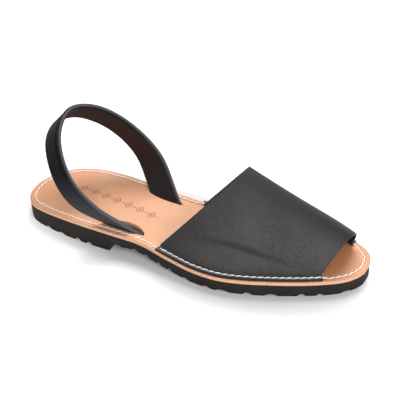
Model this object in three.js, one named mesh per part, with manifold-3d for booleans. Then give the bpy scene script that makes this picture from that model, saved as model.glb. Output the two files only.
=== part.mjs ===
import * as THREE from "three";
import { mergeVertices } from "three/addons/utils/BufferGeometryUtils.js";
import Module from "manifold-3d";

// A right-foot avarca: a lugged rubber outsole, a leather insole stitched to it, a leather vamp whose
// lower edge turns outwards and is sewn down through the insole, and a heel strap whose two ends pass
// through slots in the insole. Millimetres. While it is modelled, x runs from the back of the heel to
// the toe, y to the inner (medial) side and z up from the floor.

// Driving dimensions
const length = 265;
const heelWidth = 72.6;
const waistWidth = 69.5;
const ballWidth = 87.5;
const heelRubber = 14.7;
const foreRubber = 9.3;
const archLift = 6.4;
const toeSpring = 0.4;
const rubberTaper = 0.7;
const taperFade = 0.15;
const rubberInset = 0.4;
const lugDepth = 3;
const lugGap = 5.6;
const lugZigzag = 2.4;
const breastDepth = 7.5;
const breastGap = 13;
const insoleThickness = 2.9;
const insoleBevel = 0.5;
const vampLeather = 1.6;
const vampBend = 1.8;
const flangeInsetBack = 0.1;
const flangeInsetFront = 0.7;
const flangeLead = 3;
const bendInset = 4.1;
const instepRise = 61.3;
const toeRise = 22.2;
const strapThickness = 3.6;
const strapReach = 88;
const strapSpread = 84;
const strapRise = 70.2;
const fitGap = 0.3;

// Outline of the foot bed. Each half width is a share of the width that its row follows: "at" is a share
// of the length, lateral is towards -y and medial towards +y.
const outline = [
  { at: 0, of: heelWidth, lateral: 0.04, medial: 0 },
  { at: 0.012, of: heelWidth, lateral: 0.23, medial: 0.17 },
  { at: 0.04, of: heelWidth, lateral: 0.347, medial: 0.337 },
  { at: 0.09, of: heelWidth, lateral: 0.421, medial: 0.452 },
  { at: 0.15, of: heelWidth, lateral: 0.468, medial: 0.498 },
  { at: 0.22, of: heelWidth, lateral: 0.503, medial: 0.497 },
  { at: 0.31, of: waistWidth, lateral: 0.541, medial: 0.484 },
  { at: 0.41, of: waistWidth, lateral: 0.544, medial: 0.456 },
  { at: 0.5, of: ballWidth, lateral: 0.489, medial: 0.379 },
  { at: 0.58, of: ballWidth, lateral: 0.536, medial: 0.409 },
  { at: 0.65, of: ballWidth, lateral: 0.547, medial: 0.451 },
  { at: 0.72, of: ballWidth, lateral: 0.506, medial: 0.48 },
  { at: 0.79, of: ballWidth, lateral: 0.432, medial: 0.489 },
  { at: 0.86, of: ballWidth, lateral: 0.336, medial: 0.471 },
  { at: 0.92, of: ballWidth, lateral: 0.233, medial: 0.418 },
  { at: 0.965, of: ballWidth, lateral: 0.133, medial: 0.344 },
  { at: 0.99, of: ballWidth, lateral: 0.03, medial: 0.261 },
  { at: 1, of: ballWidth, lateral: -0.082, medial: 0.143 },
];

// Height of the rubber's upper face, as a share of the rubber under the heel or under the forefoot.
const rubberRows = [
  { at: 0, of: heelRubber, share: 0.76 },
  { at: 0.12, of: heelRubber, share: 0.93 },
  { at: 0.25, of: heelRubber, share: 1 },
  { at: 0.38, of: heelRubber, share: 0.92 },
  { at: 0.5, of: foreRubber, share: 1.11 },
  { at: 0.56, of: foreRubber, share: 0.99 },
  { at: 0.65, of: foreRubber, share: 0.975 },
  { at: 0.8, of: foreRubber, share: 1.04 },
  { at: 0.92, of: foreRubber, share: 1 },
  { at: 1, of: foreRubber, share: 1 },
];

// Height of the tread above the floor, as a share of the lift at the arch or of the toe spring.
const treadRows = [
  { at: 0, of: archLift, share: 0 },
  { at: 0.31, of: archLift, share: 0 },
  { at: 0.345, of: archLift, share: 0.92 },
  { at: 0.37, of: archLift, share: 1 },
  { at: 0.395, of: archLift, share: 0.93 },
  { at: 0.42, of: archLift, share: 0.78 },
  { at: 0.45, of: archLift, share: 0.5 },
  { at: 0.505, of: archLift, share: 0.28 },
  { at: 0.56, of: archLift, share: 0 },
  { at: 0.93, of: toeSpring, share: 0 },
  { at: 1, of: toeSpring, share: 1 },
];

// Grooves between the lugs, from heel to toe: width and depth are shares of the lug gap and lug depth,
// turn is the slant in degrees and zigzag a share of the lug zigzag.
const grooves = [
  { at: 0.098, wide: 0.9, deep: 0.5, turn: 0, zigzag: 1 },
  { at: 0.143, wide: 1.3, deep: 0.4, turn: 0, zigzag: 1 },
  { at: 0.199, wide: 1, deep: 0.75, turn: 0, zigzag: 1 },
  { at: 0.236, wide: 1, deep: 0.7, turn: 0, zigzag: 1 },
  { at: 0.385, wide: 0.9, deep: 0.6, turn: 2, zigzag: 1 },
  { at: 0.425, wide: 0.9, deep: 0.6, turn: 3, zigzag: 1 },
  { at: 0.468, wide: 0.9, deep: 0.5, turn: 4, zigzag: 1 },
  { at: 0.508, wide: 0.8, deep: 0.6, turn: 5, zigzag: 1 },
  { at: 0.568, wide: 1.4, deep: 0.5, turn: 6, zigzag: 1 },
  { at: 0.64, wide: 1.2, deep: 0.5, turn: 7, zigzag: 1 },
  { at: 0.688, wide: 1.9, deep: 0.5, turn: 8, zigzag: 1 },
  { at: 0.75, wide: 1.1, deep: 0.7, turn: 8, zigzag: 1 },
  { at: 0.806, wide: 1.7, deep: 0.6, turn: 7, zigzag: 1 },
  { at: 0.882, wide: 1.1, deep: 0.7, turn: 6, zigzag: 1 },
  { at: 0.927, wide: 0.8, deep: 0.55, turn: 5, zigzag: 1 },
  { at: 0.972, wide: 0.8, deep: 0.4, turn: 3, zigzag: 0.6 },
];

// Feet of the vamp along the foot bed, as shares of the length, and the tops of its two free edges:
// "at" is a share of the length, side of the ball width, and round is the power of the arch's curve.
// The flange's two cut ends lie further back than the arch's feet by shares of the flange's lead.
const vampFeet = {
  lateral: { back: 0.459, front: 0.917, leadBack: 0.25, leadFront: 0 },
  medial: { back: 0.487, front: 0.944, leadBack: 1, leadFront: 1 },
};
const vampBackTop = { at: 0.657, side: -0.03, rise: instepRise, round: 2 };
const vampFrontTop = { at: 0.949, side: 0.08, rise: toeRise, round: 1.8 };

// Heel strap, from the lateral slot round the heel to the medial slot. Each row gives the strap's upper
// and lower edge: back is a share of the strap's reach behind the lateral slot's front end, side of half
// its spread and rise of its rise above the insole.
const slotFront = 0.394;
const strapRows = [
  { upBack: 0.03, upSide: -0.67, upRise: 0, lowBack: 0.32, lowSide: -0.63, lowRise: 0 },
  { upBack: 0.31, upSide: -1, upRise: 0.325, lowBack: 0.562, lowSide: -0.97, lowRise: 0.265 },
  { upBack: 0.56, upSide: -0.99, upRise: 0.62, lowBack: 0.762, lowSide: -0.87, lowRise: 0.5 },
  { upBack: 0.755, upSide: -0.6, upRise: 0.9, lowBack: 0.942, lowSide: -0.43, lowRise: 0.71 },
  { upBack: 0.82, upSide: 0.01, upRise: 1.03, lowBack: 0.99, lowSide: 0.095, lowRise: 0.785 },
  { upBack: 0.71, upSide: 0.595, upRise: 0.915, lowBack: 0.92, lowSide: 0.62, lowRise: 0.718 },
  { upBack: 0.485, upSide: 0.96, upRise: 0.655, lowBack: 0.715, lowSide: 0.985, lowRise: 0.512 },
  { upBack: 0.19, upSide: 0.945, upRise: 0.35, lowBack: 0.47, lowSide: 1.01, lowRise: 0.257 },
  { upBack: -0.08, upSide: 0.53, upRise: 0, lowBack: 0.21, lowSide: 0.555, lowRise: 0 },
];

// Fineness of the solids
const soleStations = 52;
const vampStations = 24;
const archSteps = 20;
const bendSteps = 3;
const strapStations = 40;
const grooveSteps = 6;

const wasm = await Module();
wasm.setup();

// A smooth function through rows: a cubic between neighbours with the slopes of the chords around them.
function smoothThrough(xs, ys) {
  const last = xs.length - 1;
  const chord = (i) => (ys[i + 1] - ys[i]) / (xs[i + 1] - xs[i]);
  const slope = xs.map((x, i) => {
    if (i === 0) return chord(0);
    if (i === last) return chord(last - 1);
    const before = xs[i] - xs[i - 1];
    const after = xs[i + 1] - xs[i];
    return (chord(i - 1) * after + chord(i) * before) / (before + after);
  });
  return (x) => {
    let i = 0;
    while (i < last - 1 && x > xs[i + 1]) i += 1;
    const step = xs[i + 1] - xs[i];
    const t = (x - xs[i]) / step;
    const rise = t * t * (3 - 2 * t);
    const leave = t * (1 - t) * (1 - t) * step * slope[i];
    const arrive = t * t * (t - 1) * step * slope[i + 1];
    return ys[i] + (ys[i + 1] - ys[i]) * rise + leave + arrive;
  };
}

// A broken line through rows.
function straightThrough(xs, ys) {
  return (x) => {
    let i = 0;
    while (i < xs.length - 2 && x > xs[i + 1]) i += 1;
    const t = (x - xs[i]) / (xs[i + 1] - xs[i]);
    return ys[i] + (ys[i + 1] - ys[i]) * THREE.MathUtils.clamp(t, 0, 1);
  };
}

const shares = (rows) => rows.map((row) => row.at * length);
const heights = (rows) => rows.map((row) => row.of * row.share);
const rubberTop = smoothThrough(shares(rubberRows), heights(rubberRows));
const treadHeight = straightThrough(shares(treadRows), heights(treadRows));
const insoleFoot = (x) => rubberTop(x) + fitGap;
const insoleTop = (x) => insoleFoot(x) + insoleThickness;

// The outline is followed by an angle that runs from 0 at the heel to pi at the toe, so that its round
// ends are smooth. A point on it is moved in by the inset, square to the edge.
const angleAt = (x) => Math.acos(1 - (2 * x) / length);
const angles = outline.map((row) => angleAt(row.at * length));
const halfWidth = {
  lateral: smoothThrough(angles, outline.map((row) => -row.of * row.lateral)),
  medial: smoothThrough(angles, outline.map((row) => row.of * row.medial)),
};
const nudge = 0.01;

function rimNormal(side, angle) {
  const low = Math.max(0, angle - nudge);
  const high = Math.min(Math.PI, angle + nudge);
  const run = (length / 2) * (Math.cos(low) - Math.cos(high));
  const rise = halfWidth[side](high) - halfWidth[side](low);
  const turned = side === "lateral" ? 1 : -1;
  return new THREE.Vector2(-rise, run).multiplyScalar(turned).normalize();
}

function rim(side, angle, inset) {
  const x = (length / 2) * (1 - Math.cos(angle));
  const inward = rimNormal(side, angle);
  return new THREE.Vector2(x, halfWidth[side](angle)).addScaledVector(inward, inset);
}

// A closed body from rings with the same number of points. The first half of a ring runs along one side
// and the second half comes back along the other, so the two end faces are closed as ladders.
function bodyFrom(rings) {
  const count = rings[0].length;
  const positions = rings.flat().flatMap((p) => [p.x, p.y, p.z]);
  const index = [];
  for (let i = 0; i < rings.length - 1; i += 1) {
    for (let j = 0; j < count; j += 1) {
      const a = i * count + j;
      const b = i * count + ((j + 1) % count);
      index.push(a, b, a + count, b, b + count, a + count);
    }
  }
  const end = (rings.length - 1) * count;
  for (let j = 0; j < count / 2 - 1; j += 1) {
    const k = count - 1 - j;
    index.push(j, k, j + 1, j + 1, k, k - 1);
    index.push(end + j, end + j + 1, end + k, end + j + 1, end + k - 1, end + k);
  }
  if (volumeOf(positions, index) < 0) index.reverse();
  const geometry = new THREE.BufferGeometry();
  geometry.setAttribute("position", new THREE.Float32BufferAttribute(positions, 3));
  geometry.setIndex(index);
  return geometry;
}

function volumeOf(positions, index) {
  const corner = (i) => new THREE.Vector3().fromArray(positions, 3 * index[i]);
  let volume = 0;
  for (let i = 0; i < index.length; i += 3) {
    volume += corner(i).dot(corner(i + 1).cross(corner(i + 2))) / 6;
  }
  return volume;
}

function toSolid(geometry) {
  const merged = mergeVertices(geometry, 1e-4);
  const vertProperties = new Float32Array(merged.attributes.position.array);
  const triVerts = new Uint32Array(merged.index.array);
  return new wasm.Manifold(new wasm.Mesh({ numProp: 3, vertProperties, triVerts }));
}

function fromSolid(solid) {
  const mesh = solid.getMesh();
  const geometry = new THREE.BufferGeometry();
  geometry.setAttribute("position", new THREE.BufferAttribute(mesh.vertProperties, 3));
  geometry.setIndex(new THREE.BufferAttribute(mesh.triVerts, 1));
  return geometry;
}

function cutAll(geometry, cutters) {
  return fromSolid(cutters.reduce((solid, cutter) => solid.subtract(toSolid(cutter)), toSolid(geometry)));
}

// A slab that follows the outline. Each layer gives its inset from the outline, how much further it
// draws in where it tapers, and its height over x. The taper fades out over the last share before the toe.
function slab(layers) {
  const taperShare = (angle) => THREE.MathUtils.clamp((1 + Math.cos(angle)) / 2 / taperFade, 0, 1);
  const rings = [];
  for (let i = 0; i <= soleStations; i += 1) {
    const angle = (Math.PI * i) / soleStations;
    const edge = (side) => layers.map((layer) => {
      const p = rim(side, angle, layer.inset + layer.draw * taperShare(angle));
      return new THREE.Vector3(p.x, p.y, layer.height(p.x));
    });
    rings.push([...edge("lateral"), ...edge("medial").reverse()]);
  }
  return bodyFrom(rings);
}

// A groove across the tread: open downwards, and narrowing from its mouth at the tread to its root, which
// lies deeper by its depth. It is carried along a zigzag line.
function grooveCutter(at, tread, gap, depth, turn, zigzag) {
  const reach = ballWidth * 0.7;
  const slant = Math.tan(THREE.MathUtils.degToRad(turn));
  const overcut = 1;
  const rootShare = 0.35;
  const rings = [];
  for (let i = 0; i <= grooveSteps; i += 1) {
    const y = reach * ((2 * i) / grooveSteps - 1);
    const x = at * length + y * slant + (i % 2 === 0 ? -zigzag : zigzag);
    const wall = (side) => [
      new THREE.Vector3(x + (side * gap) / 2, y, -overcut),
      new THREE.Vector3(x + (side * gap) / 2, y, tread),
      new THREE.Vector3(x + (side * gap * rootShare) / 2, y, tread + depth),
    ];
    rings.push([...wall(-1), ...wall(1).reverse()]);
  }
  return bodyFrom(rings);
}

// Outsole: rubber block with a straight upper wall that draws in towards the tread.
function outsoleGeometry() {
  const wallBend = (x) => treadHeight(x) + (rubberTop(x) - treadHeight(x)) * 0.6;
  const block = slab([
    { inset: rubberInset, draw: 0, height: rubberTop },
    { inset: rubberInset, draw: 0, height: wallBend },
    { inset: rubberInset, draw: rubberTaper, height: treadHeight },
  ]);
  const cutters = grooves.map((row) => grooveCutter(row.at, treadHeight(row.at * length),
    lugGap * row.wide, lugDepth * row.deep, row.turn, lugZigzag * row.zigzag));
  const breastAt = 0.334;
  cutters.push(grooveCutter(breastAt, 0, breastGap, breastDepth, 0, 0));
  return cutAll(block, cutters);
}

// Insole: leather slab with bevelled edges and a slot for each end of the strap.
function insoleGeometry() {
  const shoulder = (x) => insoleTop(x) - insoleBevel;
  const foot = (x) => insoleFoot(x) + insoleBevel;
  const bed = slab([
    { inset: insoleBevel, draw: 0, height: insoleTop },
    { inset: 0, draw: 0, height: shoulder },
    { inset: 0, draw: 0, height: foot },
    { inset: insoleBevel, draw: 0, height: insoleFoot },
  ]);
  return cutAll(bed, [strapGeometry(fitGap, -2 * fitGap)]);
}

// One section of the vamp's middle surface. The flange lies on the insole, bends up beside the seam and
// becomes an arch from the lateral to the medial foot; along is 0 at the back edge and 1 at the front.
function vampSection(along) {
  const foot = (side, share) => {
    const { back, front, leadBack, leadFront } = vampFeet[side];
    const x = THREE.MathUtils.lerp(back, front, share) * length;
    const drawn = flangeLead * THREE.MathUtils.lerp(leadBack, leadFront, share);
    const bed = (inset, lift, lead) => {
      const p = rim(side, angleAt(x - lead * drawn), inset);
      const rest = insoleTop(p.x) + fitGap + vampLeather / 2;
      return new THREE.Vector3(p.x, p.y, rest + lift);
    };
    const flange = [bed(THREE.MathUtils.lerp(flangeInsetBack, flangeInsetFront, share), 0, 1)];
    for (let i = 0; i < bendSteps; i += 1) {
      const turn = (Math.PI / 2) * (i / bendSteps);
      const inset = bendInset + vampBend * Math.sin(turn);
      flange.push(bed(inset, vampBend * (1 - Math.cos(turn)), 1 - i / bendSteps));
    }
    return { flange, top: bed(bendInset + vampBend, vampBend, 0) };
  };
  const top = (row, side) => {
    const x = row.at * length;
    const rest = insoleTop(vampFeet.lateral[side] * length);
    return new THREE.Vector3(x, row.side * ballWidth, rest + row.rise);
  };
  const archPoint = (share, row, side, turn) => {
    const a = foot("lateral", share).top;
    const b = foot("medial", share).top;
    const middle = a.clone().add(b).multiplyScalar(0.5);
    const reach = Math.sign(Math.cos(turn)) * Math.abs(Math.cos(turn)) ** (2 / row.round);
    const lift = Math.max(0, Math.sin(turn)) ** (2 / row.round);
    const rise = top(row, side).sub(middle);
    const across = a.clone().sub(b).multiplyScalar(reach / 2);
    return middle.add(across).addScaledVector(rise, lift);
  };
  const straightFoot = (side) => foot(side, 0).top.lerp(foot(side, 1).top, along);
  const lateral = foot("lateral", along);
  const medial = foot("medial", along);
  const sway = {
    lateral: lateral.top.clone().sub(straightFoot("lateral")),
    medial: medial.top.clone().sub(straightFoot("medial")),
  };
  const swayPower = 3;
  const arch = [];
  for (let i = 0; i <= archSteps; i += 1) {
    const turn = (Math.PI * i) / archSteps;
    const p = archPoint(0, vampBackTop, "back", turn).lerp(archPoint(1, vampFrontTop, "front", turn), along);
    const side = i * 2 < archSteps ? "lateral" : "medial";
    p.addScaledVector(sway[side], Math.abs(Math.cos(turn)) ** swayPower);
    arch.push(p);
  }
  return [...lateral.flange, ...arch, ...medial.flange.reverse()];
}

// Thickens a grid of points square to its surface and returns the rings of a closed sheet.
function sheetRings(grid, thickness) {
  const at = (i, j) => {
    const row = grid[THREE.MathUtils.clamp(i, 0, grid.length - 1)];
    return row[THREE.MathUtils.clamp(j, 0, row.length - 1)];
  };
  return grid.map((row, i) => {
    const normals = row.map((p, j) => {
      const along = at(i + 1, j).clone().sub(at(i - 1, j));
      const across = at(i, j + 1).clone().sub(at(i, j - 1));
      return along.cross(across).normalize();
    });
    const face = (sign) => row.map((p, j) => p.clone().addScaledVector(normals[j], (sign * thickness) / 2));
    return [...face(1), ...face(-1).reverse()];
  });
}

function vampGeometry() {
  const grid = [];
  for (let i = 0; i <= vampStations; i += 1) grid.push(vampSection(i / vampStations));
  return bodyFrom(sheetRings(grid, vampLeather));
}

// Upper and lower edge of the strap's middle surface, as functions of the share of its way round.
function strapEdges() {
  const shareAt = strapRows.map((row, i) => i / (strapRows.length - 1));
  const column = (name, value) => smoothThrough(shareAt, strapRows.map((row) => value(row[name])));
  const edge = (prefix) => {
    const x = column(`${prefix}Back`, (share) => slotFront * length - share * strapReach);
    const y = column(`${prefix}Side`, (share) => (share * strapSpread) / 2);
    const z = column(`${prefix}Rise`, (share) => insoleTop(slotFront * length) + share * strapRise);
    return (share) => new THREE.Vector3(x(share), y(share), z(share));
  };
  return { upper: edge("up"), lower: edge("low") };
}

// Strap: a folded band with round edges. Its two ends run straight on through the insole and stop above
// the rubber by "seat"; "extra" widens it on every side, for the slots that it passes through.
function strapGeometry(extra, seat) {
  const { upper, lower } = strapEdges();
  const half = strapThickness / 2 + extra;
  const edgeTurns = [85, 50, 15].map(THREE.MathUtils.degToRad);
  const rings = [];
  for (let i = 0; i <= strapStations; i += 1) {
    const share = i / strapStations;
    const up = upper(share);
    const low = lower(share);
    const width = up.clone().sub(low);
    const reach = width.length() / 2 - strapThickness / 2;
    width.normalize();
    const middle = up.clone().add(low).multiplyScalar(0.5);
    const ahead = Math.min(1, share + nudge);
    const behind = Math.max(0, share - nudge);
    const way = upper(ahead).add(lower(ahead)).sub(upper(behind)).sub(lower(behind)).normalize();
    const normal = way.clone().cross(width).normalize();
    const point = (across, out) => middle.clone().addScaledVector(width, across).addScaledVector(normal, out);
    const rounded = edgeTurns.map((turn) => [reach + half * Math.sin(turn), half * Math.cos(turn)]);
    const profile = [...rounded, [0, half], ...rounded.map(([a, h]) => [-a, h]).reverse()];
    const outer = profile.map(([across, out]) => point(across, out));
    const inner = profile.map(([across, out]) => point(across, -out)).reverse();
    const ring = [...outer, ...inner];
    const drop = (p) => {
      const fall = (p.z - rubberTop(p.x) - seat) / way.z;
      return p.clone().addScaledVector(way, -fall);
    };
    if (i === 0) rings.push(ring.map(drop));
    if (i > 0 && i < strapStations) rings.push(ring);
    if (i === strapStations) rings.push(ring.map(drop));
  }
  return bodyFrom(rings);
}

function piece(name, geometry, color, roughness) {
  const material = new THREE.MeshStandardMaterial({ color, roughness, metalness: 0 });
  const mesh = new THREE.Mesh(geometry, material);
  mesh.name = name;
  return mesh;
}

// The part's own origin is on the floor, under a flat lug near the middle of the heel.
const heelRest = 0.178;
const sandal = new THREE.Group();
sandal.position.x = -heelRest * length;
sandal.add(piece("outsole", outsoleGeometry(), 0x2a2725, 0.75));
sandal.add(piece("insole", insoleGeometry(), 0xd9a47c, 0.6));
sandal.add(piece("vamp", vampGeometry(), 0x464240, 0.7));
sandal.add(piece("heel_strap", strapGeometry(0, fitGap), 0x33302f, 0.6));

export default sandal;
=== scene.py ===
import math

import bpy
import numpy as np
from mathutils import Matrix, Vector


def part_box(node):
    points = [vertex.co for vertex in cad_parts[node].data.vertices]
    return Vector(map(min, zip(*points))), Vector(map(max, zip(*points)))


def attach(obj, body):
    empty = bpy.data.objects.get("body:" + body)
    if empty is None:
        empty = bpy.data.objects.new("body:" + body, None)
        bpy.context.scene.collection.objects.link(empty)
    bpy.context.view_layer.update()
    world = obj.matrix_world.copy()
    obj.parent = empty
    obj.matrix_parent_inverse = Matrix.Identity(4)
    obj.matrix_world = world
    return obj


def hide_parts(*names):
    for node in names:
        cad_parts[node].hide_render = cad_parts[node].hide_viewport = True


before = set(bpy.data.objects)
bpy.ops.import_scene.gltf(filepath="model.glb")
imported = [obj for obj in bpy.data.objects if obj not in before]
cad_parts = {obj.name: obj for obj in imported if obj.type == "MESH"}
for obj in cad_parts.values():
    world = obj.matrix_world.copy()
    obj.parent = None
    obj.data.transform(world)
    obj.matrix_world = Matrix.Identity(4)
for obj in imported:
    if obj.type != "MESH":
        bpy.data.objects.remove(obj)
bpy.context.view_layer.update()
scene = bpy.context.scene

# Camera and studio
# One right-foot sandal stands on a white table. A long lens looks down at its outer side from a little
# ahead of the toe, and a wide soft light hangs above and behind it, so its shadow falls forwards.
mm = 0.001
heel_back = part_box("insole")[0][0]
toe_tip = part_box("insole")[1][0]
view_point = Vector((heel_back + 132 * mm, 5 * mm, 30.6 * mm))
view_azimuth = math.radians(25.2)
view_elevation = math.radians(34.0)
view_distance = 1.0087
view_way = Vector((
    -math.sin(view_azimuth) * math.cos(view_elevation),
    math.cos(view_azimuth) * math.cos(view_elevation),
    -math.sin(view_elevation)))
camera_data = bpy.data.cameras.new("camera")
camera_data.sensor_width = 36.0
camera_data.lens = 123.6
camera_data.shift_x = 0.0115
camera_data.shift_y = 0.0104
camera = bpy.data.objects.new("camera", camera_data)
camera.location = view_point - view_way * view_distance
camera.rotation_euler = view_way.to_track_quat("-Z", "Y").to_euler()
scene.collection.objects.link(camera)
scene.camera = camera
scene.view_settings.view_transform = "Standard"

room = bpy.data.worlds.new("room")
scene.world = room
room.use_nodes = True
room.node_tree.nodes["Background"].inputs["Color"].default_value = (1.0, 1.0, 1.0, 1.0)
room.node_tree.nodes["Background"].inputs["Strength"].default_value = 0.42


def paint(red, green, blue):
    """A colour from the red, green and blue of a screen, 0 to 255, made linear by the screen's curve."""
    shares = np.array([red, green, blue]) / 255
    linear = np.where(shares > 0.04045, ((shares + 0.055) / 1.055) ** 2.4, shares / 12.92)
    return (*linear, 1.0)


class Reading:
    """A number that varies over a surface. Sums and products of readings add Math nodes."""

    def __init__(self, finish, socket):
        self.finish = finish
        self.socket = socket

    def maths(self, operation, *terms):
        """A Math node on terms, each of them a reading or a number."""
        return self.finish.node("ShaderNodeMath", {"operation": operation}, dict(enumerate(terms)))

    def __add__(self, other):
        return self.maths("ADD", self, other)

    def __sub__(self, other):
        return self.maths("SUBTRACT", self, other)

    def __rsub__(self, other):
        return self.maths("SUBTRACT", other, self)

    def __mul__(self, other):
        return self.maths("MULTIPLY", self, other)

    def __truediv__(self, other):
        return self.maths("DIVIDE", self, other)

    def __pow__(self, power):
        return self.maths("POWER", self, power)

    def __abs__(self):
        return self.maths("ABSOLUTE", self)

    __radd__ = __add__
    __rmul__ = __mul__

    def step(self, low, high):
        """Rises smoothly from 0 at low to 1 at high."""
        ends = {"Value": self, "From Min": low, "From Max": high}
        return self.finish.node("ShaderNodeMapRange", {"interpolation_type": "SMOOTHSTEP"}, ends)


class Finish:
    """A material and the nodes that give it colour, gloss and grain."""

    def __init__(self, name):
        self.material = bpy.data.materials.new(name)
        self.material.use_nodes = True
        self.tree = self.material.node_tree
        self.shader = self.tree.nodes["Principled BSDF"]

    def node(self, kind, settings, sockets, output=0):
        """Adds a node: first its settings, then a value or a link for each of its sockets."""
        new = self.tree.nodes.new(kind)
        for name, value in settings.items():
            setattr(new, name, value)
        self.fill(new, sockets)
        return Reading(self, new.outputs[output])

    def fill(self, node, sockets):
        """Gives each socket of a node its value or its link."""
        for name, value in sockets.items():
            if isinstance(value, Reading):
                self.tree.links.new(value.socket, node.inputs[name])
            else:
                node.inputs[name].default_value = value

    def place(self):
        """Where a point of the piece is, in metres."""
        return self.node("ShaderNodeTexCoord", {}, {}, "Object")

    def stored(self, label):
        """A number kept with the mesh under a name."""
        return self.node("ShaderNodeAttribute", {"attribute_name": label}, {}, "Fac")

    def cloud(self, size, detail=2.0, stretch=(1.0, 1.0, 1.0)):
        """Soft noise from 0 to 1, whose lumps have a size in metres and may be stretched."""
        scale = tuple(1 / (size * factor) for factor in stretch)
        where = self.node("ShaderNodeMapping", {}, {"Vector": self.place(), "Scale": scale})
        return self.node("ShaderNodeTexNoise", {}, {"Vector": where, "Scale": 1.0, "Detail": detail})

    def cells(self, size):
        """Distance to the nearest of many scattered points, in cells of a size in metres."""
        sockets = {"Vector": self.place(), "Scale": 1 / size}
        return self.node("ShaderNodeTexVoronoi", {}, sockets, "Distance")

    def blend(self, share, first, second):
        """Two colours mixed by a share."""
        return self.node("ShaderNodeMix", {"data_type": "RGBA"}, {0: share, 6: first, 7: second}, 2)

    def relief(self, height):
        """A normal from a height in millimetres."""
        return self.node("ShaderNodeBump", {}, {"Height": height, "Distance": mm, "Strength": 1.0})


# The table is lit from within a little, and more so away from the sandal, so that the shadow stays short
# and the ground beyond it is white. The dim patch is an ellipse, and the table lies a hair below the tread.
table_drop = 0.1 * mm
patch_middle = (88 * mm, 0, 0)
patch_turn = (0, 0, math.radians(-11))
patch_radii = (135 * mm, 55 * mm, 1)
table_corners = [(-3, -3), (3, -3), (3, 3), (-3, 3)]
table_data = bpy.data.meshes.new("table")
table_data.from_pydata([(x, y, -table_drop) for x, y in table_corners], [], [(0, 1, 2, 3)])
lit_table = Finish("lit_table")
table_reach = lit_table.node(
    "ShaderNodeMapping", {"vector_type": "TEXTURE"},
    {"Vector": lit_table.place(), "Location": patch_middle, "Rotation": patch_turn, "Scale": patch_radii})
table_away = lit_table.node("ShaderNodeVectorMath", {"operation": "LENGTH"}, {0: table_reach}, "Value")
table_glow = lit_table.blend(table_away.step(0.85, 1.4), (0.05, 0.05, 0.05, 1), (0.5, 0.5, 0.5, 1))
lit_table.fill(lit_table.shader, {
    "Base Color": (0.6, 0.6, 0.6, 1.0),
    "Roughness": 1.0,
    "Specular IOR Level": 0.0,
    "Emission Color": table_glow,
    "Emission Strength": 1.0})
table_data.materials.append(lit_table.material)
table = bpy.data.objects.new("table", table_data)
scene.collection.objects.link(table)


def hang_softbox(name, place, size, power):
    """A square lamp that faces the sandal."""
    lamp_data = bpy.data.lights.new(name, "AREA")
    lamp_data.energy = power
    lamp_data.size = size
    lamp = bpy.data.objects.new(name, lamp_data)
    lamp.location = place
    lamp.rotation_euler = (view_point - Vector(place)).to_track_quat("-Z", "Y").to_euler()
    scene.collection.objects.link(lamp)


hang_softbox("overhead", (0.0, 0.6, 1.0), 0.75, 15.5)
hang_softbox("fill", (0.75, -0.7, 0.6), 0.7, 9.5)


# Outsole
# A block of black rubber, moulded in one piece. It is lugged right across in zigzags, is cut away under
# the waist of the foot, and draws in a little towards the tread.
length = toe_tip - heel_back
heel_width = 72.6 * mm
waist_width = 69.5 * mm
ball_width = 87.5 * mm
heel_rubber = 14.7 * mm
fore_rubber = 9.3 * mm
arch_lift = 6.4 * mm
toe_spring = 0.4 * mm
rubber_inset = 0.4 * mm
rubber_taper = 0.7 * mm
upright_share = 0.4
taper_fades_at = 0.85
rubber_chamfer = 0.4 * mm
rubber_round = 0.5 * mm
lug_gap = 5.6 * mm
lug_depth = 3.0 * mm
lug_zigzag = 2.4 * mm
zigzag_length = 40.8 * mm
breast_at = 0.334
breast_gap = 13.0 * mm
breast_depth = 7.5 * mm
root_share = 0.35
sole_rows = 620
tread_count = 36
lid_count = 6
soft_corner = 40

# The footbed's outline: each half width is a share of the width that its row follows.
outline = [
    dict(at=0.0, of=heel_width, lateral=0.04, medial=0.0),
    dict(at=0.012, of=heel_width, lateral=0.23, medial=0.17),
    dict(at=0.04, of=heel_width, lateral=0.347, medial=0.337),
    dict(at=0.09, of=heel_width, lateral=0.421, medial=0.452),
    dict(at=0.15, of=heel_width, lateral=0.468, medial=0.498),
    dict(at=0.22, of=heel_width, lateral=0.503, medial=0.497),
    dict(at=0.31, of=waist_width, lateral=0.541, medial=0.484),
    dict(at=0.41, of=waist_width, lateral=0.544, medial=0.456),
    dict(at=0.5, of=ball_width, lateral=0.489, medial=0.379),
    dict(at=0.58, of=ball_width, lateral=0.536, medial=0.409),
    dict(at=0.65, of=ball_width, lateral=0.547, medial=0.451),
    dict(at=0.72, of=ball_width, lateral=0.506, medial=0.48),
    dict(at=0.79, of=ball_width, lateral=0.432, medial=0.489),
    dict(at=0.86, of=ball_width, lateral=0.336, medial=0.471),
    dict(at=0.92, of=ball_width, lateral=0.233, medial=0.418),
    dict(at=0.965, of=ball_width, lateral=0.133, medial=0.344),
    dict(at=0.99, of=ball_width, lateral=0.03, medial=0.261),
    dict(at=1.0, of=ball_width, lateral=-0.082, medial=0.143),
]

# Height of the rubber's upper face.
rubber_rows = [
    dict(at=0.0, of=heel_rubber, share=0.76),
    dict(at=0.12, of=heel_rubber, share=0.93),
    dict(at=0.25, of=heel_rubber, share=1.0),
    dict(at=0.38, of=heel_rubber, share=0.92),
    dict(at=0.5, of=fore_rubber, share=1.11),
    dict(at=0.56, of=fore_rubber, share=0.99),
    dict(at=0.65, of=fore_rubber, share=0.975),
    dict(at=0.8, of=fore_rubber, share=1.04),
    dict(at=0.92, of=fore_rubber, share=1.0),
    dict(at=1.0, of=fore_rubber, share=1.0),
]

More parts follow.
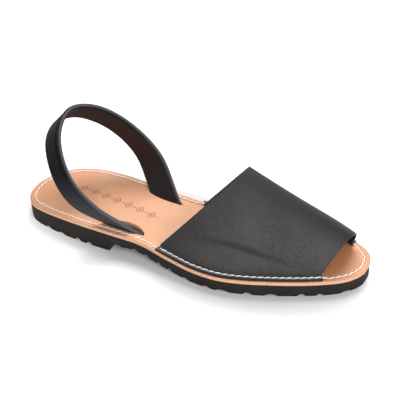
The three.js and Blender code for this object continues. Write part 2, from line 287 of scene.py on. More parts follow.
# Height of the tread above the floor, at the arch and at the toe.
tread_rows = [
    dict(at=0.0, of=arch_lift, share=0.0),
    dict(at=0.31, of=arch_lift, share=0.0),
    dict(at=0.345, of=arch_lift, share=0.92),
    dict(at=0.37, of=arch_lift, share=1.0),
    dict(at=0.395, of=arch_lift, share=0.93),
    dict(at=0.42, of=arch_lift, share=0.78),
    dict(at=0.45, of=arch_lift, share=0.5),
    dict(at=0.505, of=arch_lift, share=0.28),
    dict(at=0.56, of=arch_lift, share=0.0),
    dict(at=0.93, of=toe_spring, share=0.0),
    dict(at=1.0, of=toe_spring, share=1.0),
]

# Grooves between the lugs: width and depth as shares of the lug gap and depth, and slant in degrees.
grooves = [
    dict(at=0.098, wide=0.9, deep=0.5, turn=0),
    dict(at=0.143, wide=1.3, deep=0.4, turn=0),
    dict(at=0.199, wide=1.0, deep=0.75, turn=0),
    dict(at=0.236, wide=1.0, deep=0.7, turn=0),
    dict(at=0.385, wide=0.9, deep=0.6, turn=2),
    dict(at=0.425, wide=0.9, deep=0.6, turn=3),
    dict(at=0.468, wide=0.9, deep=0.5, turn=4),
    dict(at=0.508, wide=0.8, deep=0.6, turn=5),
    dict(at=0.568, wide=1.4, deep=0.5, turn=6),
    dict(at=0.64, wide=1.2, deep=0.5, turn=7),
    dict(at=0.688, wide=1.9, deep=0.5, turn=8),
    dict(at=0.75, wide=1.1, deep=0.7, turn=8),
    dict(at=0.806, wide=1.7, deep=0.6, turn=7),
    dict(at=0.882, wide=1.1, deep=0.7, turn=6),
    dict(at=0.927, wide=0.8, deep=0.55, turn=5),
    dict(at=0.972, wide=0.8, deep=0.4, turn=3),
]


def column(rows, *names):
    """The named columns of a table, multiplied together row by row."""
    return np.prod([[row[name] for row in rows] for name in names], axis=0)


def smooth_through(at, values):
    """A smooth curve through points: between two of them a cubic whose slope at each is the mean of the
    chords beside it, the nearer chord counting for more."""
    span = np.diff(at)
    chord = np.diff(values) / span
    inner = (chord[:-1] * span[1:] + chord[1:] * span[:-1]) / (span[:-1] + span[1:])
    slope = np.concatenate(([chord[0]], inner, [chord[-1]]))

    def curve(x):
        i = np.clip(np.searchsorted(at, x, side="left") - 1, 0, len(at) - 2)
        t = (x - at[i]) / span[i]
        leave = t * (1 - t) ** 2 * span[i] * slope[i]
        arrive = t * t * (t - 1) * span[i] * slope[i + 1]
        return values[i] + (values[i + 1] - values[i]) * t * t * (3 - 2 * t) + leave + arrive

    return curve


def angle_at(x):
    """The outline is followed by an angle from 0 at the heel to pi at the toe: x = length (1 - cos) / 2."""
    return np.arccos(np.clip(1 - 2 * x / length, -1, 1))


row_angles = angle_at(column(outline, "at") * length)
half_width = dict(
    lateral=smooth_through(row_angles, -column(outline, "of", "lateral")),
    medial=smooth_through(row_angles, column(outline, "of", "medial")))


def edge_point(side, angle, inset):
    """x and y of the outline at an angle, moved in by the inset square to the edge. The edge's direction
    is the step between the outline's points a hundredth of a radian to each side."""
    low = np.maximum(angle - 0.01, 0)
    high = np.minimum(angle + 0.01, np.pi)
    run = length / 2 * (np.cos(low) - np.cos(high))
    rise = half_width[side](high) - half_width[side](low)
    turned = np.hypot(run, rise) * (1 if side == "lateral" else -1)
    x = length / 2 * (1 - np.cos(angle)) - inset * rise / turned
    y = half_width[side](angle) + inset * run / turned
    return x, y


def soft_clip(t, softness=0.12):
    """t held between 0 and 1, with its two corners rounded by a pair of hyperbolas."""
    return (np.hypot(t, softness) - np.hypot(t - 1, softness) + 1) / 2


rubber_top = smooth_through(column(rubber_rows, "at") * length, column(rubber_rows, "of", "share"))


def tread_height(x):
    """Height of the tread without its grooves, straight from row to row."""
    return np.interp(x, column(tread_rows, "at") * length, column(tread_rows, "of", "share"))


groove_at = column(grooves, "at") * length
ends_at = np.concatenate(([0], groove_at, [length]))
groove_turns = np.concatenate(([0], np.tan(np.radians(column(grooves, "turn"))), [0]))

# How much of the full zigzag the grooves have along the sole: none at its ends and where the heel ends.
zigzag_at = np.array([0, 0.05, 0.25, 0.29, 0.36, 0.38, 0.93, 0.972, 1]) * length
zigzag_share = np.array([0, 1, 1, 0, 0, 1, 1, 0.6, 0])


def zigzag(run, y):
    """How far a groove that meets the middle of the sole at a run lies ahead of it at y: its slant times
    y, and a triangle wave across the sole with slightly rounded corners."""
    wave = np.arcsin(0.98 * np.cos(2 * np.pi * y / zigzag_length)) / np.arcsin(0.98)
    share = np.interp(run, zigzag_at, zigzag_share)
    return y * np.interp(run, ends_at, groove_turns) + lug_zigzag * share * wave


def sole_bottom(run, x):
    """Height of the tread: its own height, with a soft-cornered trapezoid for each groove, and a larger
    one from the floor up where the heel ends."""
    mouth = lug_gap * column(grooves, "wide") / 2
    away = np.abs(run[..., None] - groove_at)
    cut = soft_clip((mouth - away) / (mouth * (1 - root_share))) * lug_depth * column(grooves, "deep")
    breast_away = np.abs(run - breast_at * length)
    breast = soft_clip((breast_gap / 2 - breast_away) / (breast_gap / 2 * (1 - root_share)), 0.05)
    return np.maximum(tread_height(x) + cut.max(axis=-1), breast * breast_depth)


def body_faces(rings, count):
    """Quads of a closed body made of rings of points. The first half of a ring runs down one side and
    the second half comes back up the other, so that each end is closed by quads between partners."""
    i, j = np.meshgrid(np.arange(rings - 1), np.arange(count), indexing="ij")
    k = (j + 1) % count
    walls = np.stack([i * count + j, i * count + k, (i + 1) * count + k, (i + 1) * count + j], axis=-1)
    j = np.arange(count // 2 - 1)
    cap = np.stack([j, count - 1 - j, count - 2 - j, j + 1], axis=-1)
    return np.concatenate([walls.reshape(-1, 4), cap, cap[:, ::-1] + (rings - 1) * count])


def body_mesh(name, bodies, corner=soft_corner, **surface):
    """A mesh of one or more closed bodies, given as an array of body, ring, point and coordinate, with x
    from the back of the heel. The faces are turned outwards by the sign of the volume that they enclose.
    Corners of more degrees than asked for stay sharp, and what else is given for each point is kept with
    the mesh under its own name."""
    bodies = bodies if bodies.ndim == 4 else bodies[None]
    number, rings, count, _ = bodies.shape
    points = bodies.reshape(-1, 3) + (heel_back, 0, 0)
    one = body_faces(rings, count)
    a, b, c, d = (points[one[:, corner]] for corner in range(4))
    volume = np.einsum("ij,ij->", a, np.cross(b, c)) + np.einsum("ij,ij->", a, np.cross(c, d))
    one = one if volume > 0 else one[:, ::-1]
    faces = (one[None] + np.arange(number)[:, None, None] * rings * count).reshape(-1, 4)
    mesh = bpy.data.meshes.new(name)
    mesh.from_pydata(points.tolist(), [], faces.tolist())
    for label, values in surface.items():
        spread = np.broadcast_to(values, bodies.shape[:3]).ravel()
        mesh.attributes.new(label, "FLOAT", "POINT").data.foreach_set("value", spread)
    mesh.polygons.foreach_set("use_smooth", np.ones(len(faces), dtype=bool))
    mesh.set_sharp_from_angle(angle=math.radians(corner))
    return mesh


def add_piece(name, mesh, material, replaced=None):
    """Puts a piece on the sandal, with its finish and the solid that it stands for."""
    mesh.materials.append(material)
    piece = bpy.data.objects.new(name, mesh)
    scene.collection.objects.link(piece)
    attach(piece, "root")
    if replaced:
        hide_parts(replaced)
    return piece


black_rubber = Finish("black_rubber")
rubber_pits = black_rubber.cloud(0.5 * mm, 3.0)
rubber_cloud = black_rubber.cloud(9 * mm, 3.0)
rubber_dust = black_rubber.cloud(1.1 * mm, 2.0).step(0.62, 0.74) * rubber_cloud.step(0.4, 0.7)
rubber_colour = black_rubber.blend(rubber_cloud, paint(27, 23, 21), paint(38, 33, 29))
rubber_colour = black_rubber.blend(rubber_dust * 0.8, rubber_colour, paint(96, 92, 88))
black_rubber.fill(black_rubber.shader, {
    "Base Color": rubber_colour,
    "Roughness": 0.62 + rubber_pits * 0.25,
    "Specular IOR Level": 0.25,
    "Normal": black_rubber.relief(rubber_pits * 0.1 + rubber_cloud * 0.25)})

# Stations run along the tread. Each is one line across it that follows the grooves, so it meets the
# outline at its own x on either side, found by going back and forth between x and y.
sole_runs = length / 2 * (1 - np.cos(np.linspace(0, np.pi, sole_rows)))[:, None]
sole_angle = {}
for side in ("lateral", "medial"):
    x = sole_runs
    for _ in range(40):
        x = np.clip(sole_runs + zigzag(sole_runs, half_width[side](angle_at(x))), 0, length)
    sole_angle[side] = np.where((sole_runs == 0) | (sole_runs == length), angle_at(sole_runs), angle_at(x))


def sole_wall(side):
    """One wall of the outsole, from the insole down to the tread. It stands upright for a share of its
    height, then draws in evenly, less so at the toe, and turns under the lugs in a quarter circle."""
    angle = sole_angle[side]
    middle = length / 2 * (1 - np.cos(angle))
    top = rubber_top(middle)
    bottom = sole_bottom(sole_runs, middle)
    fall = np.array([0.0, 0.03, 0.15, 0.3, 0.45, 0.6, 0.75, 0.9, 1.0])
    turn = np.radians([22.5, 45, 67.5, 90])
    straight = top - fall * (top - bottom - rubber_round)
    bend = bottom + rubber_round * (1 - np.sin(turn))
    height = np.concatenate([straight, bend], axis=1)
    above = (height - tread_height(middle)) / (top - tread_height(middle))
    taper = rubber_taper * np.interp(middle, [0, taper_fades_at * length, length], [1, 1, 0])
    inset = rubber_inset + taper * np.clip(1 - above / (1 - upright_share), 0, 1)
    inset[:, 0] += rubber_chamfer
    inset[:, len(fall):] += rubber_round * (1 - np.cos(turn))
    x, y = edge_point(side, angle, inset)
    return np.stack([x, y, height], axis=-1)


def sole_across(lateral, medial, shares):
    """Points of the tread between its two edges. They follow the groove lines, as far as these depart
    from the straight line between the edges."""
    y = lateral[:, None, 1] * (1 - shares) + medial[:, None, 1] * shares
    ends = [zigzag(sole_runs, edge[:, None, 1]) for edge in (lateral, medial)]
    bow = zigzag(sole_runs, y) - ends[0] * (1 - shares) - ends[1] * shares
    x = lateral[:, None, 0] * (1 - shares) + medial[:, None, 0] * shares + bow
    z = sole_bottom(np.broadcast_to(sole_runs, x.shape), x)
    return np.stack([x, y, z], axis=-1)


lateral_wall = sole_wall("lateral")
medial_wall = sole_wall("medial")
tread_shares = (np.arange(tread_count) + 0.5) / tread_count
tread = sole_across(lateral_wall[:, -1], medial_wall[:, -1], tread_shares)
lid_shares = ((np.arange(lid_count) + 0.5) / lid_count)[:, None]
lid = lateral_wall[:, None, 0] * (1 - lid_shares) + medial_wall[:, None, 0] * lid_shares
lateral_lid = lid[:, :lid_count // 2]
medial_lid = lid[:, lid_count // 2:]
sole_rings = np.concatenate([
    lateral_lid[:, ::-1], lateral_wall, tread, medial_wall[:, ::-1], medial_lid[:, ::-1]], axis=1)
add_piece(
    "rubber_outsole", body_mesh("rubber_outsole", sole_rings, corner=50),
    black_rubber.material, "outsole")


# Insole
# One piece of natural vegetable-tanned leather, cut flat, with its edges left raw. A curved slit on each
# side lets an end of the heel strap through, and a row of small lozenges is stamped along its middle.
insole_thickness = 2.9 * mm
insole_round = 0.5 * mm
fit_gap = 0.3 * mm
seam_inset = 4.0 * mm
furrow_depth = 0.35 * mm
furrow_width = 0.7 * mm
underside_start = 3.0 * mm
bed_count = 34
back_count = 8
far_margin = 20.0
slot_front = 0.394 * length
strap_reach = 88 * mm
strap_spread = 84 * mm
strap_rise = 70.2 * mm
strap_thickness = 3.6 * mm

# The slits, each with the plan of a blade: its two ends, and how far it bows in and out between them.
near_slit = dict(
    first=(77.0 * mm, -25.4 * mm), last=(106.6 * mm, -28.9 * mm), inner=7.2 * mm, outer=2.7 * mm)
far_slit = dict(
    first=(114.5 * mm, 21.0 * mm), last=(84.0 * mm, 23.8 * mm), inner=3.2 * mm, outer=3.2 * mm)
slit_top = 30.0 * mm
slit_foot = 5.0 * mm

# Upper and lower edge of the strap, from the outer slit round the heel to the inner one: back is a share
# of its reach behind the outer slit's front end, side of half its spread and rise of its rise.
strap_rows = [
    dict(up_back=0.03, up_side=-0.67, up_rise=0.0, low_back=0.32, low_side=-0.63, low_rise=0.0),
    dict(up_back=0.31, up_side=-1.0, up_rise=0.325, low_back=0.562, low_side=-0.97, low_rise=0.265),
    dict(up_back=0.56, up_side=-0.99, up_rise=0.62, low_back=0.762, low_side=-0.87, low_rise=0.5),
    dict(up_back=0.755, up_side=-0.6, up_rise=0.9, low_back=0.942, low_side=-0.43, low_rise=0.71),
    dict(up_back=0.82, up_side=0.01, up_rise=1.03, low_back=0.99, low_side=0.095, low_rise=0.785),
    dict(up_back=0.71, up_side=0.595, up_rise=0.915, low_back=0.92, low_side=0.62, low_rise=0.718),
    dict(up_back=0.485, up_side=0.96, up_rise=0.655, low_back=0.715, low_side=0.985, low_rise=0.512),
    dict(up_back=0.19, up_side=0.945, up_rise=0.35, low_back=0.47, low_side=1.01, low_rise=0.257),
    dict(up_back=-0.08, up_side=0.53, up_rise=0.0, low_back=0.21, low_side=0.555, low_rise=0.0),
]


def insole_top(x):
    """Height of the footbed, which follows the rubber."""
    return rubber_top(x) + fit_gap + insole_thickness


def insole_half(side):
    """Half of a section of the insole: its top near the edge with a shallow furrow for the seam, a
    quarter circle, the raw edge, another quarter circle, and the start of its underside. With it comes
    how far in from the edge each of its points lies, in millimetres."""
    angle = np.linspace(0, np.pi, 380)[:, None]
    margin = np.array([8, 6.8, 6, 5.4, 5, 4.7, 4.4, 4.1, 3.7, 3.1, 2.4, 1.7, 1.1]) * mm
    turn = np.radians([0, 30, 60, 90])
    inset = np.concatenate([
        margin, insole_round * (1 - np.sin(turn)), insole_round * (1 - np.cos(turn)), [underside_start]])
    drop = np.concatenate([
        furrow_depth * np.exp(-((margin - seam_inset) / furrow_width) ** 2),
        insole_round * (1 - np.cos(turn)),
        insole_thickness - insole_round * (1 - np.sin(turn)), [insole_thickness]])
    x, y = edge_point(side, angle, inset)
    return np.stack([x, y, insole_top(x) - drop], axis=-1), inset / mm


def level_between(first, last, number, height):
    """Points on straight lines between two rows of points, at a height that depends on x."""
    share = ((np.arange(number) + 0.5) / number)[:, None]
    points = first[:, None] * (1 - share) + last[:, None] * share
    points[..., 2] = height(points[..., 0])
    return points


def strap_edge(edge):
    """The strap's upper or lower edge over the share of its way, smooth through the rows."""
    at = np.linspace(0, 1, len(strap_rows))
    x = smooth_through(at, slot_front - column(strap_rows, edge + "_back") * strap_reach)
    y = smooth_through(at, column(strap_rows, edge + "_side") * strap_spread / 2)
    z = smooth_through(at, insole_top(slot_front) + column(strap_rows, edge + "_rise") * strap_rise)
    return lambda share: np.stack([x(share), y(share), z(share)], axis=-1)


upper_edge = strap_edge("up")
lower_edge = strap_edge("low")


def strap_body(share, across, out, seat):
    """A band carried round the heel. Across is how far each point of its section lies below the upper
    edge, as a share of the width and a length, and out its height above the middle surface. The way of
    the band is the step between its points a hundredth of its length to each side, and the two end
    sections slide along it until they end above the rubber by the seat."""
    up = upper_edge(share)
    low = lower_edge(share)
    width = np.linalg.norm(up - low, axis=-1, keepdims=True)
    down = (low - up) / width
    ahead = np.minimum(share + 0.01, 1)
    behind = np.maximum(share - 0.01, 0)
    way = upper_edge(ahead) + lower_edge(ahead) - upper_edge(behind) - lower_edge(behind)
    way = way / np.linalg.norm(way, axis=-1, keepdims=True)
    square = np.cross(way, down)
    square = square / np.linalg.norm(square, axis=-1, keepdims=True)
    reach = across[0] * width + across[1]
    points = up[:, None] + down[:, None] * reach[..., None] + square[:, None] * np.asarray(out)[..., None]
    for end in (0, -1):
        fall = (points[end, :, 2] - rubber_top(points[end, :, 0]) - seat) / way[end, 2]
        points[end] -= way[end] * fall[:, None]
    return points


def slit_body(seat, spare):
    """The space that the strap needs in the insole: its own section, wider by the spare on every side."""
    share = np.linspace(0, 1, 81)
    turn = np.radians(np.linspace(90, -90, 9))
    half = strap_thickness / 2
    across = np.where(turn > 0, half, -half) - (half + spare) * np.sin(turn)
    widths = np.where(turn > 0, 0.0, 1.0)
    pair = (np.concatenate([widths, widths[::-1]]), np.concatenate([across, across[::-1]]))
    out = (half + spare) * np.cos(turn)
    return strap_body(share, pair, np.concatenate([out, -out[::-1]]), seat)


def blade_body(first, last, inner, outer):
    """A block that stands through the insole, with the plan of a blade. Its sides bow out from the line
    between its two ends by (4 t (1 - t)) to the power 0.7, t being the share of the way."""
    steps = 25
    t = np.linspace(0, 1, steps)[:, None]
    line = np.array(first) * (1 - t) + np.array(last) * t
    square = np.array([first[1] - last[1], last[0] - first[0]]) / math.dist(first, last)
    bow = fit_gap + (4 * t * (1 - t)) ** 0.7 * np.array([inner, -outer])
    plans = [line + square * bow[:, :1], line + square * bow[:, 1:]]
    walls = [(plans[0], slit_top), (plans[0], slit_foot), (plans[1], slit_foot), (plans[1], slit_top)]
    return np.stack([np.column_stack([plan, np.full(steps, height)]) for plan, height in walls], axis=1)


def cut_out(piece, bodies):
    """Cuts bodies out of a piece with Boolean modifiers, and keeps the result as the piece's own mesh."""
    cutters = []
    for body in bodies:
        cutter = bpy.data.objects.new("cutter", body_mesh("cutter", body))
        scene.collection.objects.link(cutter)
        cutters.append(cutter)
        modifier = piece.modifiers.new("slit", "BOOLEAN")
        modifier.object = cutter
        modifier.operation = "DIFFERENCE"
        modifier.solver = "EXACT"
    result = piece.evaluated_get(bpy.context.evaluated_depsgraph_get())
    piece.data = bpy.data.meshes.new_from_object(result)
    piece.modifiers.clear()
    for cutter in cutters:
        bpy.data.objects.remove(cutter)
    piece.data.set_sharp_from_angle(angle=math.radians(soft_corner))


tan_leather = Finish("tan_leather")
tan_margin = tan_leather.stored("margin")
tan_normal = tan_leather.node("ShaderNodeNewGeometry", {}, {}, "Normal")
tan_up = tan_leather.node("ShaderNodeSeparateXYZ", {}, {"Vector": tan_normal}, "Z")
tan_side = 1 - abs(tan_up).step(0.35, 0.75)
tan_cloud = tan_leather.cloud(26 * mm, 3.0)
tan_mottle = tan_leather.cloud(7 * mm, 4.0)
tan_pores = tan_leather.cells(0.55 * mm)
tan_fibres = tan_leather.cloud(0.45 * mm, 3.0, (3.0, 3.0, 0.6))
tan_colour = tan_leather.blend(tan_cloud.step(0.3, 0.7), paint(198, 144, 109), paint(207, 154, 120))
tan_colour = tan_leather.blend(tan_mottle.step(0.45, 0.8) * 0.45, tan_colour, paint(202, 144, 108))
# Painted shade: darker along the top of the raw edge.
tan_edge_shade = tan_margin.step(1.6, 0.2) * 0.7
tan_colour = tan_leather.blend(tan_edge_shade, tan_colour, paint(196, 130, 92))
# Painted shade in the seam's furrow.
tan_furrow_shade = tan_margin.step(5.6, 4.6) * tan_margin.step(2.8, 3.6) * 0.55
tan_colour = tan_leather.blend(tan_furrow_shade, tan_colour, paint(182, 116, 84))

# Painted shade makes the heel a little darker. The toe is darker where the vamp meets it, in part
# painted shade and in part rubbed by the vamp. The raw edges are fibrous and pale, and the walls of the
# slits carry painted shade, darker than the outer edge.
tan_place = tan_leather.node("ShaderNodeSeparateXYZ", {}, {"Vector": tan_leather.place()}, "X")
tan_run = tan_place - heel_back
tan_heel_shade = tan_run.step(60 * mm, 0.0) * 0.3
tan_colour = tan_leather.blend(tan_heel_shade, tan_colour, paint(190, 128, 94))
tan_toe_shade_and_rub = tan_run.step(262 * mm, 240 * mm) * tan_run.step(200 * mm, 225 * mm)
tan_colour = tan_leather.blend(tan_toe_shade_and_rub * tan_margin.step(5, 14) * 0.7, tan_colour, paint(200, 122, 80))
raw_colour = tan_leather.blend(tan_fibres.step(0.3, 0.75), paint(232, 190, 160), paint(190, 136, 104))
# Painted shade on the walls of the slits.
raw_colour = tan_leather.blend(tan_margin.step(9, 12), raw_colour, paint(216, 128, 86))
tan_colour = tan_leather.blend(tan_side, tan_colour, raw_colour)

# The stamp is worked out in its own axes, along the row and across it. A lozenge is where the two
# distances from its middle, each divided by its own half size, add up to less than one.
stamp_start = (heel_back + 32 * mm, 8 * mm, 0.0)
stamp_turn = (0.0, 0.0, math.radians(-9.5))
stamp_pitch = 10.6 * mm
stamp_count = 7
stamp_half_length = 3.6 * mm
stamp_half_height = 4.4 * mm
stamp_place = tan_leather.node(
    "ShaderNodeMapping", {"vector_type": "TEXTURE"},
    {"Vector": tan_leather.place(), "Location": stamp_start, "Rotation": stamp_turn})
stamp_x = tan_leather.node("ShaderNodeSeparateXYZ", {}, {"Vector": stamp_place}, "X")
stamp_y = tan_leather.node("ShaderNodeSeparateXYZ", {}, {"Vector": stamp_place}, "Y")
stamp_run = stamp_x / stamp_pitch
stamp_off = abs(stamp_run.maths("FRACT", stamp_run) - 0.5)
stamp_begun = stamp_run.maths("GREATER_THAN", stamp_run, 0)
stamp_going_on = stamp_run.maths("LESS_THAN", stamp_run, stamp_count)
stamp_reach = stamp_off * (stamp_pitch / stamp_half_length) + abs(stamp_y) * (1 / stamp_half_height)
stamp_ring = abs(stamp_reach - 0.84).step(0.17, 0.09)
stamp_heart = stamp_reach.step(0.44, 0.32)
stamp_gap = ((0.5 - stamp_off) * stamp_pitch) ** 2 + stamp_y * stamp_y
stamp_dot = stamp_gap.step((1.0 * mm) ** 2, (0.7 * mm) ** 2)
stamp_shapes = stamp_ring + stamp_heart + stamp_dot
stamp_mark = stamp_begun * stamp_going_on * stamp_shapes.maths("MINIMUM", stamp_shapes, 1.0)
stamp_ink = stamp_mark * abs(tan_up).step(0.75, 0.9) * (0.55 + tan_leather.cloud(1.2 * mm, 2.0) * 0.5)
tan_colour = tan_leather.blend(stamp_ink, tan_colour, paint(152, 80, 54))
tan_height = tan_pores * 0.05 + tan_mottle * 0.12 + tan_fibres * tan_side * 0.25 - stamp_mark * 0.12
tan_leather.fill(tan_leather.shader, {
    "Base Color": tan_colour,
    "Roughness": 0.5 + tan_mottle * 0.15 + tan_side * 0.25,
    "Specular IOR Level": 0.35,
    "Normal": tan_leather.relief(tan_height)})

lateral_edge, margin = insole_half("lateral")
medial_edge, margin = insole_half("medial")
insole_bed = level_between(lateral_edge[:, 0], medial_edge[:, 0], bed_count, insole_top)
insole_back = level_between(
    lateral_edge[:, -1], medial_edge[:, -1], back_count, lambda x: rubber_top(x) + fit_gap)
lateral_bed = insole_bed[:, :bed_count // 2]
medial_bed = insole_bed[:, bed_count // 2:]
insole_rings = np.concatenate([
    lateral_bed[:, ::-1], lateral_edge, insole_back, medial_edge[:, ::-1], medial_bed[:, ::-1]], axis=1)
bed_margin = np.full(bed_count // 2, far_margin)
back_margin = np.full(back_count, far_margin)
insole_margin = np.concatenate([bed_margin, margin, back_margin, margin[::-1], bed_margin])
insole = add_piece(
    "leather_insole", body_mesh("leather_insole", insole_rings, margin=insole_margin),
    tan_leather.material, "insole")
cut_out(insole, [
    slit_body(-2 * fit_gap, fit_gap),
    blade_body(**near_slit),
    blade_body(**far_slit)])


# Vamp
# One piece of matt black leather, bent over the forefoot. Its lower edge turns outwards as a flange that
# lies on the insole and is sewn down through it, and its back and front edges are cut and left plain.
vamp_leather = 1.6 * mm
vamp_bend = 1.8 * mm
vamp_corner = 0.45 * mm
flange_insets = (0.1 * mm, 0.7 * mm)
bend_inset = 4.1 * mm
vamp_feet = dict(lateral=(0.459, 0.917), medial=(0.487, 0.944))
flange_leads = dict(lateral=(0.75 * mm, 0.0), medial=(3.0 * mm, 2.3 * mm))
flange_widening = dict(lateral=0.0, medial=0.2)
vamp_back_top = dict(at=0.657, side=-0.03, rise=61.3 * mm, round=2.0)
vamp_front_top = dict(at=0.949, side=0.08, rise=22.2 * mm, round=1.8)
vamp_panel = 105 * mm
arch_radius = 45 * mm

# Across a side of the vamp come its rounded edge, the flat of the flange and the bend: distances from the
# cut edge, shares of the way to the bend, and turns of the bend.
black_edge = np.array([0, 0.06, 0.2, 0.4]) * mm
flat_shares = np.array([0.2, 0.4, 0.6, 0.8, 1.0])
bend_turn = np.radians([15, 30, 45, 60, 75])
flange_count = len(black_edge) + len(flat_shares)
hem_count = flange_count + len(bend_turn)


def vamp_foot(side, share, inset, lift, lead):
    """Points over the insole's edge beside the vamp, at an inset and lift. The flange's two cut ends lie
    further back than the arch's feet by its two leads, times the share of them that is asked for, and the
    inset grows towards the front by the widening times the share of the way to the power 4."""
    back, front = vamp_feet[side]
    lead_back, lead_front = flange_leads[side]
    drawn = lead * (lead_back * (1 - share) + lead_front * share)
    inset = inset * (1 + flange_widening[side] * share ** 4)
    x, y = edge_point(side, angle_at((back + (front - back) * share) * length - drawn), inset)
    return np.stack([x, y, insole_top(x) + fit_gap + vamp_leather / 2 + lift], axis=-1)


def vamp_hem(side, share):
    """The flange from its cut edge to the bend, and the bend, a quarter circle up from it. The flange's
    leads grow evenly from none at the arch to the whole at the outline."""
    edge = flange_insets[0] * (1 - share) + flange_insets[1] * share + black_edge
    flat = edge[:, -1:] + (bend_inset - edge[:, -1:]) * flat_shares
    bend = np.broadcast_to(bend_inset + vamp_bend * np.sin(bend_turn), (len(share), len(bend_turn)))
    inset = np.concatenate([edge, flat, bend], axis=1)
    lift = np.concatenate([np.zeros(flange_count), vamp_bend * (1 - np.cos(bend_turn))])
    return vamp_foot(side, share, inset, lift, 1 - inset / (bend_inset + vamp_bend))


def vamp_arch(share, turn):
    """The arch over the foot: middle + half the span times cos, and the rise to its top times sin, each to
    the power 2 / round. It changes evenly from the back edge's arch to the front edge's, and its feet
    sway with the insole's outline by cos cubed."""
    feet = {}
    for side in ("lateral", "medial"):
        ends = vamp_foot(side, np.array([[0.0], [1.0]]), bend_inset + vamp_bend, vamp_bend, 0)
        here = vamp_foot(side, share, bend_inset + vamp_bend, vamp_bend, 0)
        feet[side] = (ends, here - ends[0] * (1 - share[..., None]) - ends[1] * share[..., None])
    arches = []
    for end, row in ((0, vamp_back_top), (1, vamp_front_top)):
        a = feet["lateral"][0][end, 0]
        b = feet["medial"][0][end, 0]
        foot_x = vamp_feet["lateral"][end] * length
        top = np.array([row["at"] * length, row["side"] * ball_width, insole_top(foot_x) + row["rise"]])
        reach = np.sign(np.cos(turn)) * np.abs(np.cos(turn)) ** (2 / row["round"])
        lift = np.maximum(0, np.sin(turn)) ** (2 / row["round"])
        middle = (a + b) / 2
        arches.append(middle + (a - b) / 2 * reach[:, None] + (top - middle) * lift[:, None])
    sway = np.where(turn[:, None] < np.pi / 2, feet["lateral"][1], feet["medial"][1])
    sheet = arches[0] * (1 - share[..., None]) + arches[1] * share[..., None]
    return sheet + sway * np.abs(np.cos(turn))[:, None] ** 3


# Soft troughs and ridges that walking has left in the leather. Each runs over the vamp from a share of the
# way to its front edge to another, at a turn over the arch in degrees at its start, middle and end.
vamp_creases = [
    dict(start=0.0, end=0.94, turn=13, mid_turn=25.5, end_turn=9, wide=3.4 * mm, deep=1.7 * mm),
    dict(start=0.2, end=0.8, turn=15, mid_turn=17, end_turn=11, wide=4.0 * mm, deep=-0.9 * mm),
    dict(start=0.1, end=0.85, turn=30, mid_turn=36, end_turn=24, wide=6.0 * mm, deep=-0.8 * mm),
    dict(start=0.45, end=0.95, turn=66, mid_turn=60, end_turn=48, wide=7.0 * mm, deep=0.35 * mm),
    dict(start=0.15, end=0.85, turn=160, mid_turn=153, end_turn=165, wide=4.0 * mm, deep=1.1 * mm),
    dict(start=0.2, end=0.8, turn=148, mid_turn=142, end_turn=150, wide=5.0 * mm, deep=-0.7 * mm),
]


def crease_depth(share, turn):
    """How deep the creases lie at points of the vamp: each is a bell curve of the distance from its line,
    a parabola through its start, middle and end, and fades out towards both ends."""
    depth = 0
    for row in vamp_creases:
        u = np.clip((share - row["start"]) / (row["end"] - row["start"]), 0, 1)
        fade = 4 * u * (1 - u)
        line = row["turn"] * (1 - u) * (1 - 2 * u) + row["mid_turn"] * fade
        line = line + row["end_turn"] * u * (2 * u - 1)
        off = (turn - np.radians(line)) * arch_radius / row["wide"]
        depth = depth + row["deep"] * np.exp(-off ** 2) * fade ** 1.5
    return depth


def outward(sheet):
    """The way out, square to the vamp, at each of its points: the way forwards along it, turned against
    the way across it from the outer side to the inner."""
    along = np.diff(sheet, axis=0, prepend=sheet[:1], append=sheet[-1:])
    across = np.diff(sheet, axis=1, prepend=sheet[:, :1], append=sheet[:, -1:])
    along = along[1:] + along[:-1]
    across = across[:, 1:] + across[:, :-1]
    square = np.cross(along, across)
    return square / np.linalg.norm(square, axis=-1, keepdims=True)


def sheet_body(sheet, half):
    """A closed sheet of leather around a middle surface: each point goes out by half the thickness there,
    square to the surface, to either side."""
    square = outward(sheet) * half[..., None]
    return np.concatenate([sheet + square, (sheet - square)[:, ::-1]], axis=1)


def edge_fall(distance):
    """How far a leather face has drawn in at a distance from its cut edge: a quarter circle."""
    t = np.clip(distance / vamp_corner, 0, 1)
    return vamp_corner * (1 - np.sqrt(1 - (1 - t) ** 2))


matt_leather = Finish("matt_black_leather")
matt_edge = matt_leather.stored("edge")
matt_inner = matt_leather.stored("inner")
matt_ridge = matt_leather.stored("ridge")
matt_crease_shade = matt_leather.stored("crease").step(0.1, 1.6)
matt_hem = matt_leather.stored("hem")
matt_cloud = matt_leather.cloud(30 * mm, 3.0)
matt_nap = matt_leather.cloud(1.6 * mm, 4.0)
matt_grain = matt_leather.cells(0.5 * mm)
matt_colour = matt_leather.blend(matt_cloud.step(0.3, 0.7), paint(51, 48, 48), paint(63, 60, 60))
matt_colour = matt_leather.blend(matt_nap.step(0.35, 0.7) * 0.6, matt_colour, paint(76, 72, 72))
# Painted shade along the top of the arch and low at the back of its outer side.
matt_colour = matt_leather.blend(matt_ridge * 0.7, matt_colour, paint(26, 25, 26))
# Painted shade in the troughs of the creases.
matt_colour = matt_leather.blend(matt_crease_shade * 0.65, matt_colour, paint(28, 27, 27))
matt_colour = matt_leather.blend(matt_inner, matt_colour, paint(30, 26, 24))

# The flange is painted nearly black as painted shade, with a painted highlight: a pale streak along it.
matt_painted_highlight = abs(matt_hem - 1.5).step(0.8, 0.2)
matt_flange_shade_and_highlight = matt_leather.blend(matt_painted_highlight, paint(8, 9, 9), paint(104, 116, 122))
matt_colour = matt_leather.blend(matt_hem.step(3.8, 2.9), matt_colour, matt_flange_shade_and_highlight)
matt_colour = matt_leather.blend(matt_edge * 0.7, matt_colour, paint(24, 25, 27))
matt_leather.fill(matt_leather.shader, {
    "Base Color": matt_colour,
    "Roughness": 0.62 + matt_nap * 0.2 - matt_edge * 0.25,
    "Specular IOR Level": 0.3,
    "Normal": matt_leather.relief(matt_grain * 0.1 + matt_nap * 0.25)})

